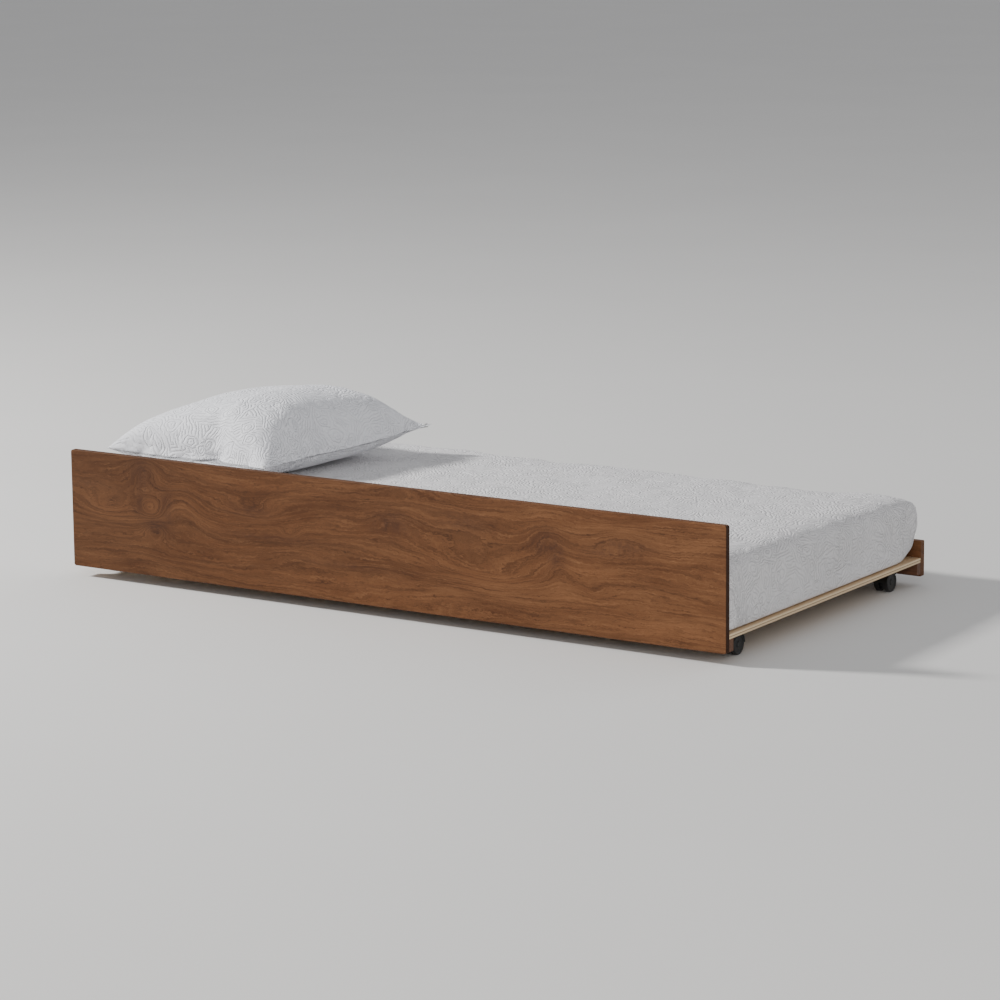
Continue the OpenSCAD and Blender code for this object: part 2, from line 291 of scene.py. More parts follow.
# Paler, redder wood: x, z, spread along x, spread along z, strength
PANEL_LIGHTS = (
    (-0.699, 0.206, 0.022, 0.016, 0.90),
    (-0.830, 0.190, 0.075, 0.028, 0.60),
    (-0.330, 0.290, 0.180, 0.012, 0.50),
    (0.300, 0.205, 0.120, 0.008, 0.60),
    (0.300, 0.130, 0.130, 0.024, 0.45),
    (0.560, 0.180, 0.100, 0.010, 0.45),
    (0.780, 0.060, 0.160, 0.020, 0.50),
    (-0.050, 0.070, 0.260, 0.014, 0.40),
    (0.100, 0.160, 0.140, 0.010, 0.40),
)

RINGS_PER_METRE = 46.0
# Painted shade for the board's end faces, then colours of the veneer, from its darkest lines to its
# palest
END_SHADE_COLOUR = (0.026, 0.009, 0.0035)
WOOD_PORE = (0.040, 0.017, 0.009)
WOOD_LATE = (0.054, 0.023, 0.012)
WOOD_HAIR = (0.060, 0.026, 0.013)
WOOD_SMUDGE = (0.062, 0.029, 0.020)
WOOD_STREAK = (0.070, 0.029, 0.0135)
WOOD_DARK = (0.108, 0.044, 0.0195)
WOOD_RED = (0.158, 0.064, 0.0265)
WOOD_LIGHT = (0.192, 0.088, 0.041)
WOOD_PALE_STREAK = (0.222, 0.102, 0.047)
WOOD_PALE = (0.246, 0.108, 0.049)
WOOD_PALE_HAIR = (0.248, 0.120, 0.058)
WOOD_EARLY = (0.266, 0.128, 0.061)
# The veneer's darkening along the board, partly its own tone and partly painted shade, as strengths
# at the head end (darker) and at the foot end (lighter); and the stain's green and blue shares
TONE_AND_SHADE_HEAD, TONE_AND_SHADE_FOOT = 0.67, 1.10
STAIN_GREEN, STAIN_BLUE = 0.96, 0.89
PLY_FACE_LIGHT = (0.66, 0.47, 0.28)
PLY_FACE_DARK = (0.54, 0.36, 0.20)
PLY_FIBRE = (0.42, 0.27, 0.15)
PLY_CRUMB = (0.30, 0.19, 0.10)
# Colours up the edge of a slat, its three plies and a painted shade line along its top under the
# mattress: share of its height, colour
PLY_EDGE_AND_SHADE = (
    (0.0, (0.72, 0.55, 0.34)), (0.38, (0.86, 0.68, 0.44)), (0.42, (0.40, 0.25, 0.13)),
    (0.58, (0.46, 0.29, 0.16)), (0.62, (0.88, 0.71, 0.47)), (0.93, (0.84, 0.66, 0.42)),
    (0.98, (0.42, 0.27, 0.15)),
)


def hill(shader, x, z, spot):
    """A smooth bump of height 1 round a spot's centre."""
    across = shader.math("DIVIDE", shader.math("SUBTRACT", x, spot[0]), spot[2])
    up = shader.math("DIVIDE", shader.math("SUBTRACT", z, spot[1]), spot[3])
    squares = shader.math("ADD", shader.times(across, across), shader.times(up, up))
    return shader.math("EXPONENT", shader.times(squares, -1.0))


def hills(shader, x, z, spots):
    total = 0.0
    for spot in spots:
        total = shader.math("MULTIPLY_ADD", hill(shader, x, z, spot), spot[4], total)
    return total


def grain_lines(shader, x, up, pushed, seed):
    """The grain's level: height on the board, bent by waves, by knots and by small jags."""
    slow = shader.drawn_out((x, 1.5), (up, 6.0), seed, 2.0)
    waves = shader.drawn_out((x, 8.0), (up, 30.0), seed + 3.0, 3.0)
    jags = shader.drawn_out((x, 75.0), (up, 190.0), seed + 5.0, 3.0, 0.6)
    level = shader.math("ADD", up, 0.25)
    level = shader.math("MULTIPLY_ADD", slow, 0.16, level)
    level = shader.math("MULTIPLY_ADD", waves, 0.018, level)
    level = shader.math("MULTIPLY_ADD", jags, 0.013, level)
    return shader.math("ADD", level, pushed), slow


def ring_lines(shader, x, up, level, pushed, seed):
    """Dark late wood and pale early wood of each ring, broken up along the board."""
    rings = shader.math("FRACT", shader.times(level, RINGS_PER_METRE))
    late = shader.ramp(rings, (0.0, 0.0), (0.45, 0.06), (0.78, 0.45),
                       (0.92, 1.0), (0.98, 0.7), (1.0, 0.1))
    early = shader.ramp(rings, (0.0, 1.0), (0.10, 0.45), (0.26, 0.0))
    near_knot = shader.between(shader.math("ABSOLUTE", pushed), 0.004, 0.035, 0.0, 1.0)
    patches = shader.drawn_out((x, 2.6), (up, 16.0), seed + 11.0, 3.0)
    breaks = shader.drawn_out((x, 22.0), (up, 60.0), seed + 13.0, 3.0, 0.6)
    presence = shader.math("MAXIMUM", shader.between(patches, 0.42, 0.66, 0.10, 0.80), near_knot)
    presence = shader.times(presence, shader.between(breaks, 0.36, 0.60, 0.15, 1.0))
    return shader.times(late, presence), shader.times(early, presence)


def streaked(shader, x, level, wood, seed):
    """The wood with its long streaks and its finer hair lines, and the noise of the lines."""
    fine = shader.drawn_out((x, 8.5), (level, 330.0), seed, 5.0, 0.72)
    broad = shader.drawn_out((x, 1.8), (level, 72.0), seed + 2.0, 4.0, 0.62)
    wood = shader.over(wood, WOOD_STREAK, broad, 0.50, 0.70, 0.50)
    wood = shader.over(wood, WOOD_PALE_STREAK, broad, 0.46, 0.28, 0.45)
    wood = shader.over(wood, WOOD_HAIR, fine, 0.52, 0.70, 0.85)
    wood = shader.over(wood, WOOD_PALE_HAIR, fine, 0.48, 0.31, 0.70)
    return wood, fine


def veneer(name, knots, smudges, lights, seed, end_shade_share):
    """Stained walnut-like veneer with crotch figure, streaks and pores along the board, with painted
    shade towards its head end and on its end faces.
    """
    shader = Shader(name, Roughness=0.5, Specular_IOR_Level=0.14)
    x, y, z = shader.place()
    up = shader.math("MULTIPLY_ADD", y, 0.5, z)
    pushed = hills(shader, x, z, knots)
    level, slow = grain_lines(shader, x, up, pushed, seed)
    late, early = ring_lines(shader, x, up, level, pushed, seed)
    blotch = shader.drawn_out((x, 5.0), (level, 22.0), seed + 7.0, 4.0, 0.62)
    pores = shader.drawn_out((x, 42.0), (level, 1100.0), seed, 2.0)
    wood = shader.over(WOOD_DARK, WOOD_LIGHT, blotch, 0.34, 0.66)
    wood = shader.over(wood, WOOD_RED, slow, 0.38, 0.66, 0.7)
    pale = shader.math("MINIMUM", hills(shader, x, z, lights), 1.0) if lights else 0.0
    wood = shader.mix(shader.times(pale, 0.75), wood, WOOD_PALE)
    wood, fine = streaked(shader, x, level, wood, seed)
    wood = shader.mix(shader.times(late, 0.55), wood, WOOD_LATE)
    wood = shader.mix(shader.times(early, 0.34), wood, WOOD_EARLY)
    dark = shader.math("MINIMUM", hills(shader, x, z, smudges), 1.0) if smudges else 0.0
    torn = shader.noise(shader.point(shader.times(x, 0.6), level, seed), 90.0, 4.0, 0.70)
    ragged = shader.between(torn, 0.36, 0.60, 0.12, 0.85)
    wood = shader.mix(shader.times(dark, ragged), wood, WOOD_SMUDGE)
    wood = shader.over(wood, WOOD_PORE, pores, 0.58, 0.72, 0.50)
    # Darker towards the head end and lighter towards the foot end: partly the veneer's tone, partly
    # painted shade; the stain's tint goes on with it
    along = shader.between(x, PANEL_LOW.x, PANEL_HIGH.x, TONE_AND_SHADE_HEAD, TONE_AND_SHADE_FOOT)
    tint_and_shade = shader.point(along, shader.times(along, STAIN_GREEN), shader.times(along, STAIN_BLUE))
    wood = shader.mix(1.0, wood, tint_and_shade, "MULTIPLY")
    # Painted shade on the end faces, the faces that look along the board
    ends = shader.between(shader.facing("X"), 0.5, 0.8, 0.0, end_shade_share)
    shader.colour(shader.mix(ends, wood, END_SHADE_COLOUR))
    shader.roughness(shader.between(fine, 0.2, 0.8, 0.46, 0.62))
    relief = shader.bump(pores, 0.30, 0.0003)
    shader.normal(shader.bump(fine, 0.20, 0.0004, relief))
    return shader.material


def solid_wood(name, dark, light):
    """Plain timber strip, grain along x."""
    shader = Shader(name, Roughness=0.6)
    x, y, z = shader.place()
    streak = shader.drawn_out((x, 6.0), (y, 160.0), (z, 160.0), 4.0, 0.6)
    fibre = shader.drawn_out((x, 20.0), (y, 900.0), (z, 900.0), 2.0)
    base = shader.over(dark, light, streak, 0.3, 0.7)
    shader.colour(shader.over(base, dark, fibre, 0.4, 0.8, 0.4))
    shader.normal(shader.bump(fibre, 0.3, 0.0004))
    return shader.material


def plywood():
    """Birch-like ply: face grain across the bed, three plies on the edges with painted shade along
    their top.
    """
    shader = Shader("plywood", Roughness=0.62)
    x, y, z = shader.place()
    sweep = shader.drawn_out((x, 9.0), (y, 1.3))
    level = shader.math("MULTIPLY_ADD", sweep, 0.35, x)
    rings = shader.math("SINE", shader.times(level, 190.0))
    fibre = shader.drawn_out((x, 800.0), (y, 14.0), 0.0, 3.0)
    face = shader.over(PLY_FACE_LIGHT, PLY_FACE_DARK, rings, -1.0, 1.0, 0.6)
    face = shader.over(face, PLY_FIBRE, fibre, 0.4, 0.75, 0.35)
    # height within the board, from 0 at the underside to 1 at the top
    share = shader.between(z, SLAT_LOW.z, SLAT_HIGH.z)
    # The plies, and painted shade along the top of the edge
    plies_and_shade = shader.ramp(share, *PLY_EDGE_AND_SHADE)
    crumb = shader.drawn_out((x, 500.0), (y, 500.0), (z, 900.0), 3.0)
    edge = shader.over(plies_and_shade, PLY_CRUMB, crumb, 0.45, 0.8, 0.35)
    flat = shader.between(shader.facing("Z"), 0.4, 0.7)
    shader.colour(shader.mix(flat, edge, face))
    shader.normal(shader.bump(fibre, 0.25, 0.0003))
    return shader.material


# ---------------------------------------------------------------- metal and plastic


def metal(name, colour, worn, roughness):
    shader = Shader(name, Metallic=1.0)
    x, y, z = shader.place()
    cloud = shader.noise(shader.point(x, y, z), 160.0, 4.0, 0.6)
    brushed = shader.drawn_out((x, 200.0), (y, 200.0), (z, 2600.0))
    shader.colour(shader.over(colour, worn, cloud, 0.35, 0.7))
    shader.roughness(shader.between(cloud, 0.2, 0.8, roughness - 0.08, roughness + 0.12))
    shader.normal(shader.bump(brushed, 0.12, 0.0001))
    return shader.material


def painted_steel():
    shader = Shader("plate_steel", Metallic=0.0, Coat_Weight=0.15)
    x, y, z = shader.place()
    point = shader.point(x, y, z)
    orange_peel = shader.noise(point, 900.0, 2.0)
    scuff = shader.noise(point, 220.0, 5.0, 0.7)
    scuffed = shader.between(scuff, 0.62, 0.75)
    shader.colour(shader.mix(scuffed, (0.012, 0.012, 0.013), (0.06, 0.06, 0.062)))
    shader.roughness(shader.between(scuff, 0.3, 0.7, 0.34, 0.55))
    shader.normal(shader.bump(orange_peel, 0.2, 0.0002))
    return shader.material


def black_plastic(name, colour, dusty, dust_from):
    """Moulded nylon: fine spark-eroded grain, rubbed and dusty where it is worn."""
    shader = Shader(name)
    x, y, z = shader.place()
    point = shader.point(x, y, z)
    grain = shader.noise(point, 1500.0, 3.0, 0.7)
    rub = shader.noise(point, 130.0, 4.0, 0.65)
    low = shader.between(z, 0.0, 0.03, 0.35, 0.0)
    dust = shader.math("MINIMUM", shader.math("ADD", shader.between(rub, dust_from, 0.8), low), 1.0)
    shader.colour(shader.mix(dust, colour, dusty))
    shader.roughness(shader.between(rub, 0.25, 0.75, 0.38, 0.6))
    shader.normal(shader.bump(grain, 0.18, 0.0002))
    return shader.material


# ---------------------------------------------------------------- cloth tools

RANDOM = np.random.default_rng(11)


def smooth(value, low, high):
    share = np.clip((value - low) / (high - low), 0.0, 1.0)
    return share * share * (3.0 - 2.0 * share)


def points_of(mesh):
    flat = np.empty(len(mesh.vertices) * 3)
    mesh.vertices.foreach_get("co", flat)
    return flat.reshape(-1, 3)


def normals_of(mesh):
    flat = np.empty(len(mesh.vertices) * 3)
    mesh.vertex_normals.foreach_get("vector", flat)
    return flat.reshape(-1, 3)


def set_points(mesh, points):
    mesh.vertices.foreach_set("co", np.ascontiguousarray(points, dtype=np.float32).ravel())
    mesh.update()


def store(mesh, name, values):
    """Keeps a vector for each point of the mesh, for its material to read."""
    kept = mesh.attributes.get(name) or mesh.attributes.new(name, "FLOAT_VECTOR", "POINT")
    kept.data.foreach_set("vector", np.ascontiguousarray(values, dtype=np.float32).ravel())


def fetch(mesh, name):
    flat = np.empty(len(mesh.vertices) * 3, dtype=np.float32)
    mesh.attributes[name].data.foreach_get("vector", flat)
    return flat.reshape(-1, 3).astype(float)


def new_piece(name, points, faces):
    mesh = bpy.data.meshes.new(name)
    mesh.from_pydata([tuple(p) for p in points], [], faces)
    mesh.update()
    piece = bpy.data.objects.new(name, mesh)
    bpy.context.scene.collection.objects.link(piece)
    return piece


def subdivided(piece, levels):
    """The piece with its mesh smoothed and made finer, and no modifier left."""
    modifier = piece.modifiers.new("fine", "SUBSURF")
    modifier.levels = levels
    modifier.render_levels = levels
    graph = bpy.context.evaluated_depsgraph_get()
    mesh = bpy.data.meshes.new_from_object(piece.evaluated_get(graph))
    piece.modifiers.clear()
    old = piece.data
    piece.data = mesh
    bpy.data.meshes.remove(old)
    mesh.name = piece.name
    mesh.shade_smooth()
    return piece


def inflate(piece, frames, pressure, gravity, stiffness, bending, on_floor):
    """Runs cloth on the piece for some frames and gives where its points went."""
    cloth = piece.modifiers.new("cloth", "CLOTH")
    settings = cloth.settings
    settings.quality = 8
    settings.mass = 0.2
    settings.tension_stiffness = stiffness
    settings.compression_stiffness = 0.75 * stiffness
    settings.shear_stiffness = 0.3 * stiffness
    settings.bending_stiffness = bending
    for way in ("tension", "compression", "shear"):
        setattr(settings, way + "_damping", 8.0)
    settings.air_damping = 4.0
    settings.use_pressure = True
    settings.uniform_pressure_force = pressure
    settings.effector_weights.gravity = gravity
    cloth.collision_settings.use_collision = on_floor
    cloth.collision_settings.distance_min = 0.003
    cloth.point_cache.frame_start = 1
    cloth.point_cache.frame_end = frames
    scene = bpy.context.scene
    for number in range(1, frames + 1):
        scene.frame_set(number)
    graph = bpy.context.evaluated_depsgraph_get()
    moved = points_of(piece.evaluated_get(graph).data)
    piece.modifiers.clear()
    scene.frame_set(1)
    return moved


# ---------------------------------------------------------------- quilting pattern


# Motifs before the pattern repeats, along each side of the cloth
MOTIF_TABLE = 64
# A distance beyond any on the cloth
FAR_AWAY = 9.0


def motif_field(u, v, spacing, seed):
    """Distance from each point of flat cloth to its nearest motif's middle, and how much
    nearer that is than the next motif's, both in metres. A motif is a bent teardrop."""
    table = np.random.default_rng(seed).random((MOTIF_TABLE, MOTIF_TABLE, 4))
    column, row = np.floor(u / spacing).astype(int), np.floor(v / spacing).astype(int)
    nearest = np.full(u.shape, FAR_AWAY)
    second = np.full(u.shape, FAR_AWAY)
    for di in (-1, 0, 1):
        for dj in (-1, 0, 1):
            pick = table[(column + di) % MOTIF_TABLE, (row + dj) % MOTIF_TABLE]
            across = u - (column + di + 0.18 + 0.64 * pick[:, 0]) * spacing
            along = v - (row + dj + 0.18 + 0.64 * pick[:, 1]) * spacing
            turn = 2.0 * math.pi * pick[:, 2]
            a = across * np.cos(turn) + along * np.sin(turn)
            b = along * np.cos(turn) - across * np.sin(turn)
            reach = np.clip(b / spacing, -0.9, 0.9)
            a = a + (0.7 + 1.1 * pick[:, 3]) * reach * b
            far = np.hypot(a * (1.25 + 0.80 * reach), b * 0.70)
            second = np.minimum(second, np.maximum(nearest, far))
            nearest = np.minimum(nearest, far)
    return nearest, second - nearest


def wander(u, v, size, seed):
    """Slow waves over flat cloth, from -1 to 1."""
    turns = np.random.default_rng(seed).random((6, 3))
    total = np.zeros(u.shape)
    for angle, phase, stretch in turns:
        angle, reach = 2.0 * math.pi * angle, size * (0.6 + 0.9 * stretch)
        along = u * math.cos(angle) + v * math.sin(angle)
        total += np.sin(2.0 * math.pi * (along / reach + phase))
    return total / 3.2


# ---------------------------------------------------------------- mattress

BED_FLOOR = COVER_LOW.z
TOP_SLOPE = -0.0223
HEM_WIDTH = 0.120
COARSE_CELL = 0.024
CORNER_RADIUS = 0.018
SKIN_INSET = 0.004
FORM_FRAMES = 20
FORM_PRESSURE = 4.0
SWELL_LIMIT = 0.007
# Clear space at the panel and the rail, and at the deck's two ends
SIDE_GAP = 0.0015
END_GAP = 0.004
# Half the width of the cover's opening, which tells the hem's ends from its long sides
OPEN_HALF_WIDTH = 0.36
COVER_THICKNESS = 0.0062
# How far the soft upper edge leans out over the low rail
RAIL_OVERHANG = 0.014
# How deep the pillow presses the mattress
PILLOW_PRINT = 0.0055
# Quilted relief of the cover: motifs' spacing, puff, ripples within it and how far it sinks
COVER_MOTIF = 0.088
COVER_PUFF, COVER_RIPPLE, COVER_SINK = 0.0018, 0.0006, 0.0012
# The cover along its far edge: x, spread and height of a dip and of a rise
FAR_EDGE_SWELLS = ((0.665, 0.060, -0.0050), (0.800, 0.070, 0.0030))
# The hem's fold: how far each step of it goes up, and in towards the opening
HEM_FOLD = ((0.0022, 0.0008), (0.0010, -0.010))
PIPING_HEIGHTS = (0.12, 0.80)
TUFT_SPACING = 0.10


def bed_top(y):
    """Height of the mattress's top across the bed."""
    return COVER_HIGH.z - 0.0006 + TOP_SLOPE * (y + 0.43)


def box_grid(low, high, cell):
    """Points and faces of a closed box, cut into square cells."""
    counts = [max(2, round((high[k] - low[k]) / cell)) for k in range(3)]
    index, points, faces = {}, [], []

    def point(cell_at):
        if cell_at not in index:
            index[cell_at] = len(points)
            points.append([low[k] + (high[k] - low[k]) * cell_at[k] / counts[k] for k in range(3)])
        return index[cell_at]

    for axis in range(3):
        a, b = (axis + 1) % 3, (axis + 2) % 3
        for end in (0, counts[axis]):
            for i in range(counts[a]):
                for j in range(counts[b]):
                    ring = []
                    for di, dj in ((0, 0), (1, 0), (1, 1), (0, 1)):
                        cell_at = [0, 0, 0]
                        cell_at[axis], cell_at[a], cell_at[b] = end, i + di, j + dj
                        ring.append(point(tuple(cell_at)))
                    faces.append(ring if end else ring[::-1])
    return np.array(points), faces


def round_edge(inward, depth, radius):
    """Takes a corner's L profile, as distances inward and down from it, to an arc."""
    beyond_in, beyond_down = np.minimum(inward - radius, 0.0), np.minimum(depth - radius, 0.0)
    length = np.maximum(np.hypot(beyond_in, beyond_down), 1e-9)
    curved = (inward < radius) & (depth < radius)
    new_in = np.where(curved, radius + radius * beyond_in / length, inward)
    new_down = np.where(curved, radius + radius * beyond_down / length, depth)
    return new_in, new_down


def rounded(points, low, high):
    """Rounds a box's edges: soft round the top, tight at its corners and where it stands."""
    middle, half = (low + high) / 2, (high - low) / 2
    x, y = points[:, 0] - middle[0], points[:, 1] - middle[1]
    inward = np.minimum(half[0] - np.abs(x), half[1] - np.abs(y))
    at_back, at_end = smooth(y, 0.36, half[1]), smooth(np.abs(x), half[0] - 0.08, half[0])
    by_corner = smooth(y, half[1] - 0.10, half[1])
    low_radius = (0.020 + 0.046 * at_back) * (1.0 - at_end) + (0.006 + 0.060 * by_corner) * at_end
    top_radius = 0.050 - 0.006 * at_back
    new_in, depth = round_edge(inward, high[2] - points[:, 2], top_radius)
    new_in, rise = round_edge(new_in, high[2] - low[2] - depth, low_radius)
    x = x * (half[0] - new_in) / np.maximum(half[0] - inward, 1e-6)
    y = y * (half[1] - new_in) / np.maximum(half[1] - inward, 1e-6)
    over_x = np.maximum(np.abs(x) - half[0] + CORNER_RADIUS, 0.0)
    over_y = np.maximum(np.abs(y) - half[1] + CORNER_RADIUS, 0.0)
    pulled = np.maximum(over_x, over_y) / np.maximum(np.hypot(over_x, over_y), 1e-9)
    pulled = np.where((over_x > 0) & (over_y > 0), pulled, 1.0)
    x -= np.sign(x) * over_x * (1.0 - pulled)
    y -= np.sign(y) * over_y * (1.0 - pulled)
    moved = np.column_stack([x + middle[0], y + middle[1], low[2] + rise])
    lift = (bed_top(moved[:, 1]) - BED_FLOOR) / (COVER_HIGH.z - BED_FLOOR)
    moved[:, 2] = low[2] + (moved[:, 2] - low[2]) * lift
    return moved


def swollen_block():
    """The mattress's outer form, coarse: a rounded block swollen by cloth under pressure."""
    low = np.array(COVER_LOW) + (SKIN_INSET, SKIN_INSET, 0.0)
    high = np.array(COVER_HIGH) - (SKIN_INSET, SKIN_INSET, SKIN_INSET)
    points, faces = box_grid(low, high, COARSE_CELL)
    start = rounded(points, low, high)
    piece = new_piece("mattress_form", start, faces)
    moved = inflate(piece, FORM_FRAMES, FORM_PRESSURE, 0.0, 15.0, 0.5, False)
    step = moved - start
    length = np.linalg.norm(step, axis=1, keepdims=True)
    firm = smooth(start[:, 2:], BED_FLOOR + 0.01, BED_FLOOR + 0.07)
    start = start + step * firm * np.minimum(1.0, SWELL_LIMIT / np.maximum(length, 1e-9))
    bpy.data.objects.remove(piece)
    return start, faces


def keep_clear(points):
    """Keeps the mattress on the deck, off the panel and over the rail."""
    points[:, 2] = np.maximum(points[:, 2], BED_FLOOR + 0.0003)
    points[:, 1] = np.maximum(points[:, 1], PANEL_HIGH.y + SIDE_GAP)
    by_rail = smooth(points[:, 2], RAIL_HIGH.z + 0.004, RAIL_HIGH.z + 0.016)
    furthest = RAIL_LOW.y - SIDE_GAP + RAIL_OVERHANG * by_rail
    points[:, 1] = np.minimum(points[:, 1], furthest)
    points[:, 0] = np.clip(points[:, 0], -SLAT_HIGH.x + END_GAP, SLAT_HIGH.x - END_GAP)
    return points


def unrolled(points):
    """Where each point of the cover lay on the flat cloth."""
    drop = np.maximum(bed_top(points[:, 1]) - points[:, 2], 0.0)
    end = smooth(np.abs(points[:, 0]), 0.80, 0.93) * np.sign(points[:, 0])
    side = smooth(np.abs(points[:, 1]), 0.38, 0.47) * np.sign(points[:, 1])
    return points[:, 0] + end * drop, points[:, 1] + side * drop


def lie_of_cover(points):
    """Slow unevenness of the cover: hollows and a wavy far edge."""
    x, y, z = points.T
    waves = 0.0016 * wander(x, y, 0.34, 21) + 0.0010 * wander(x + z, y, 0.15, 22)
    far = smooth(y, 0.36, 0.46) * smooth(z, 0.17, 0.21)
    waves += far * (0.0022 * wander(x, y * 0.2, 0.42, 23) + 0.0014 * np.sin(31.0 * x + 0.7))
    for middle, spread, height in FAR_EDGE_SWELLS:
        waves += height * far * np.exp(-((x - middle) / spread) ** 2)
    return waves


def mattress_cover(form, faces):
    """The quilted cover: a skin over the block, open underneath inside its hem."""
    points = keep_clear(form.copy())
    open_x, open_y = COVER_HIGH.x - HEM_WIDTH, (COVER_HIGH.y - COVER_LOW.y) / 2 - HEM_WIDTH
    middle_y = (COVER_HIGH.y + COVER_LOW.y) / 2
    kept = []
    for face in faces:
        x, y, z = points[face].mean(axis=0)
        if z > BED_FLOOR + 0.004 or abs(x) > open_x or abs(y - middle_y) > open_y:
            kept.append(face)
    piece = new_piece("cover", points, kept)
    tidy_loose(piece.data)
    subdivided(piece, 2)
    set_points(piece.data, stretched(points_of(piece.data)))
    quilt(piece.data)
    fold_hem(piece.data)
    return piece


def stretched(points):
    """Pulls the cover out to the mattress's full length and width."""
    low = 1.0 - smooth(points[:, 2], BED_FLOOR, BED_FLOOR + 0.02)
    for axis, wanted, spare in ((0, COVER_HIGH.x + 0.003, 0.0035), (1, COVER_HIGH.y, 0.0)):
        reach = np.abs(points[:, axis]).max()
        near_end = smooth(np.abs(points[:, axis]), 0.80 * reach, reach)
        pull = (wanted - reach + spare * low) * near_end
        points[:, axis] += np.sign(points[:, axis]) * pull
    above_rail = smooth(points[:, 2], RAIL_HIGH.z, RAIL_HIGH.z + 0.05)
    points[:, 1] += 0.011 * above_rail * smooth(points[:, 1], 0.38, COVER_HIGH.y)
    corner = smooth(np.abs(points[:, 0]), 0.88, 0.94) * smooth(np.abs(points[:, 1]), 0.42, 0.47)
    points[:, :2] += np.sign(points[:, :2]) * (0.004 * corner * above_rail)[:, None]
    return points


def tidy_loose(mesh):
    made = bmesh.new()
    made.from_mesh(mesh)
    bmesh.ops.delete(made, geom=[v for v in made.verts if not v.link_faces], context="VERTS")
    made.to_mesh(mesh)
    made.free()


def quilt(mesh):
    """Gives the cover its relief and keeps its place on the flat cloth for its material."""
    points = points_of(mesh)
    u, v = unrolled(points)
    drift = 0.014 * wander(u, v, 0.12, 31) + 0.006 * wander(u, v, 0.05, 33)
    near, border = motif_field(u + drift, v - drift, COVER_MOTIF, 32)
    store(mesh, "cloth", np.column_stack([u, v, np.zeros(len(u))]))
    puff = 1.0 - np.exp(-border / 0.010)
    ripple = 0.5 - 0.5 * np.cos(2.0 * math.pi * near / 0.030)
    below = smooth(points[:, 2], BED_FLOOR + 0.004, BED_FLOOR + 0.03)
    relief = COVER_PUFF * puff + COVER_RIPPLE * ripple - COVER_SINK
    rise = below * (relief + lie_of_cover(points))
    points = points + normals_of(mesh) * rise[:, None]
    points[:, 2] -= PILLOW_PRINT * under_pillow(points)
    set_points(mesh, keep_clear(points))


def under_pillow(points):
    """How deep in the pillow's print a point of the mattress's top is, from 0 to 1."""
    x = np.abs(points[:, 0] - (SHAM_LOW.x + SHAM_HIGH.x) / 2)
    y = np.abs(points[:, 1] - (SHAM_LOW.y + SHAM_HIGH.y) / 2)
    on_top = smooth(points[:, 2], 0.16, 0.2)
    return on_top * (1.0 - smooth(x, 0.20, 0.30)) * (1.0 - smooth(y, 0.28, 0.38))


def fold_hem(mesh):
    """Turns the hem's free edge up into a narrow doubled fold."""
    made = bmesh.new()
    made.from_mesh(mesh)
    for rise, inward in HEM_FOLD:
        edges = [e for e in made.edges if e.is_boundary]
        grown = bmesh.ops.extrude_edge_only(made, edges=edges)["geom"]
        for vertex in (g for g in grown if isinstance(g, bmesh.types.BMVert)):
            out = Vector((vertex.co.x, vertex.co.y, 0.0))
            way = Vector((0, math.copysign(1, out.y), 0))
            if abs(out.x) / (COVER_HIGH.x - HEM_WIDTH) > abs(out.y) / OPEN_HALF_WIDTH:
                way = Vector((math.copysign(1, out.x), 0, 0))
            vertex.co -= way * inward
            vertex.co.z += rise
    made.to_mesh(mesh)
    made.free()


def mattress_core(form, faces):
    """The mattress inside the cover, with a piped seam round its top and its base."""
    piece = new_piece("mattress", form, faces)
    subdivided(piece, 1)
    points = points_of(piece.data) - COVER_THICKNESS * normals_of(piece.data)
    x, y, z = points.T
    height = (z - BED_FLOOR) / (bed_top(y) - BED_FLOOR)
    piping = sum(np.exp(-((height - middle) / 0.03) ** 2) for middle in PIPING_HEIGHTS)
    side_on = 1.0 - np.abs(normals_of(piece.data)[:, 2])
    points += normals_of(piece.data) * (0.0022 * piping * side_on)[:, None]
    tuft = 0.5 - 0.5 * np.cos(2 * math.pi * x / TUFT_SPACING) * np.cos(2 * math.pi * y / TUFT_SPACING)
    points[:, 2] -= np.where(normals_of(piece.data)[:, 2] > 0.9, 0.0025 * (1.0 - tuft), 0.0)
    points[:, 2] -= PILLOW_PRINT * under_pillow(points)
    points[:, 2] = np.maximum(points[:, 2], BED_FLOOR + 0.0042)
    set_points(piece.data, points)
    return piece


# ---------------------------------------------------------------- pillow

SACK = (0.56, 0.71)
SACK_CELL = 0.0125
# The sham's four corners: x, y and height above the mattress, near left, near right,
# far left, far right as seen from the front
PILLOW_CORNERS = (
    (-0.952, -0.360, 0.064),
    (-0.446, -0.357, 0.058),
    (-0.930, 0.312, 0.050),
    (-0.396, 0.324, 0.088),
)
PILLOW_CROWN = 0.203
PILLOW_SEAM = 0.050
# How far the crown lies towards the foot side, as a share of half the pillow
PILLOW_LEAN = 0.13
# How much fuller the flank is on the head side, from 0 to 1
PILLOW_SHOULDER = 0.36
# How far the underside's middle lies towards the near side, as a share of half the pillow
PILLOW_TUCK = 0.14
# How much thinner the pillow is towards three of its corners
CORNER_THINNING = 0.40
SACK_HEIGHT = 0.13
SACK_FRAMES = 45
SACK_PRESSURE = 12.0
SHAM_THICKNESS = 0.006
SHAM_MOTIF = 0.092
SHAM_PUFF, SHAM_SINK = 0.0012, 0.0008
# The sham's stitched line: its distance from the seam, its width and depth
SHAM_STITCH, STITCH_WIDTH, STITCH_DEPTH = 0.011, 0.0035, 0.0012
SEAM_PUCKER = 0.0012


